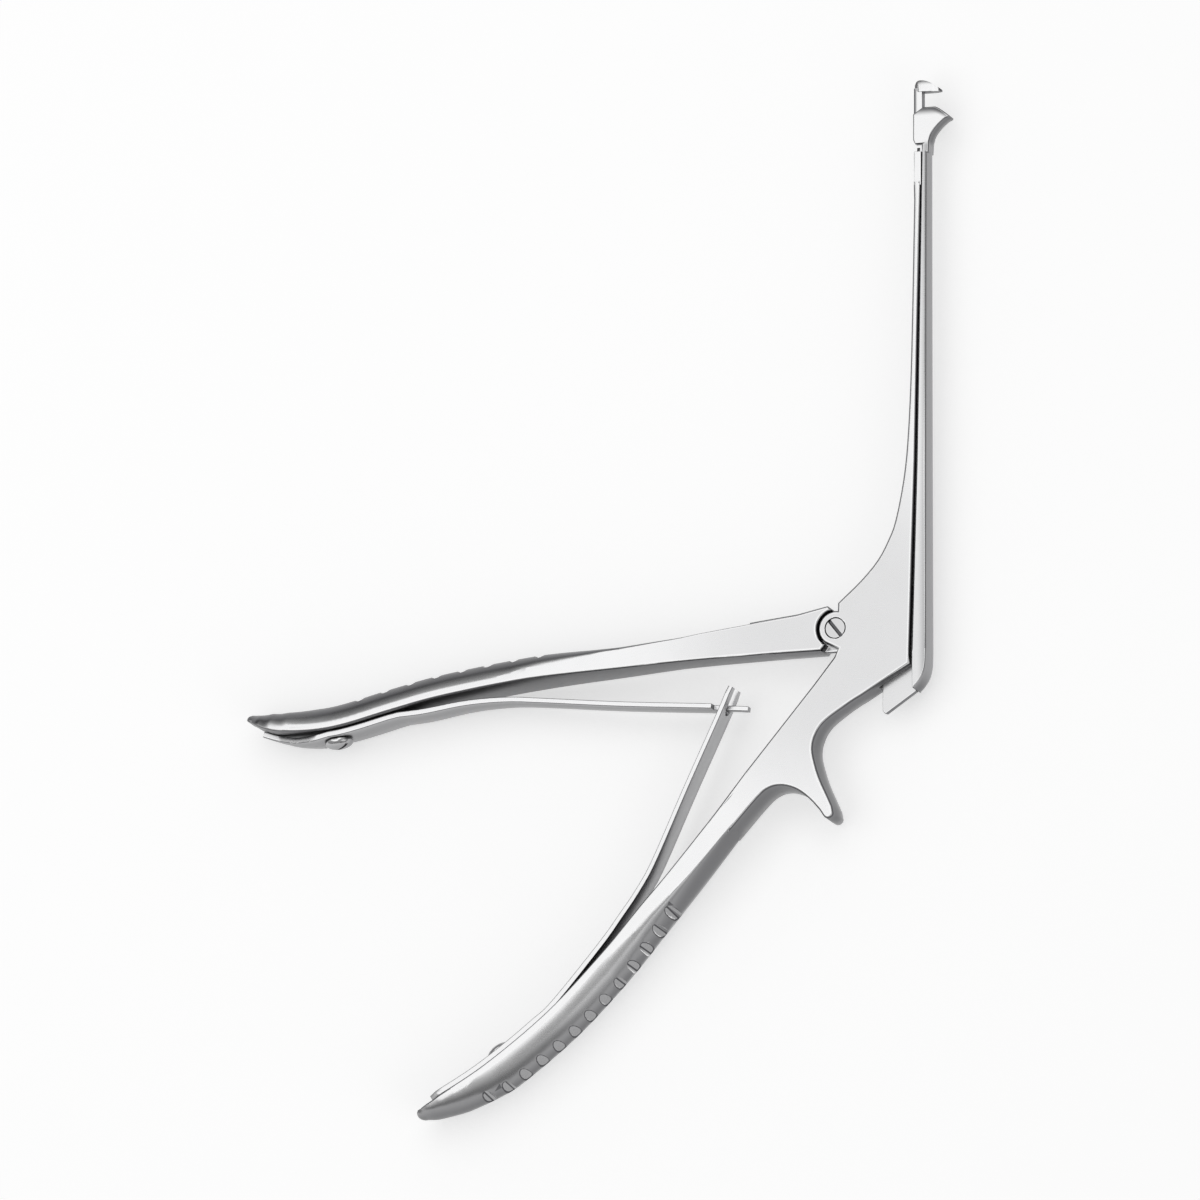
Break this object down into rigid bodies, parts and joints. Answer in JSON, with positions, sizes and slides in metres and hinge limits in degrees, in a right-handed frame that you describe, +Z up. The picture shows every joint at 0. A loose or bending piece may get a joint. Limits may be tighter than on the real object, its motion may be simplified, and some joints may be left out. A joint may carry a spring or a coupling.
{
  "type": "sinus punch",
  "caption": "Hand-held surgical bone punch: squeezing the sprung handles pushes a sliding bar with a cutting head up against a hooked foot at the tip of a long slim shaft.",
  "frame": {"origin": "middle of the bounding box in plan, on the table that the instrument lies on", "axes": "+Y along the shaft to its hooked tip, +X from the handles' ends towards the shaft, +Z up from the table, along the pivot screw"},
  "size_m": [0.1656, 0.2316, 0.0128],
  "materials": {
    "satin_steel": "satin, finely blasted faces with bright chamfers",
    "polished_steel": "polished"
  },
  "bodies": {
    "frame": {"frame": "satin_steel", "pivot_screw": "polished_steel", "front_leaf_spring": "satin_steel", "front_spring_screw": "polished_steel"},
    "rear_handle": {"rear_handle": "satin_steel", "rear_leaf_spring": "satin_steel", "rear_spring_screw": "polished_steel"},
    "slide": {"slide": "satin_steel"}
  },
  "joints": [
    {"name": "handle_squeeze", "type": "hinge", "parent": "frame", "child": "rear_handle", "pos_m": [0.05648, -0.00968, 0.0064], "axis": [0, 0, 1], "range_deg": [0, 18.35], "stiffness_Nm_per_rad": 2.5, "springref_deg": -11.46, "deforming": ["front_leaf_spring", "rear_leaf_spring"]},
    {"name": "slide_travel", "type": "slide", "parent": "frame", "child": "slide", "axis": [0, 1, 0], "range_m": [0, 0.0037]}
  ],
  "couplings": [
    {"joint": "slide_travel", "follows": "handle_squeeze", "m_per_rad": 0.01155}
  ]
}
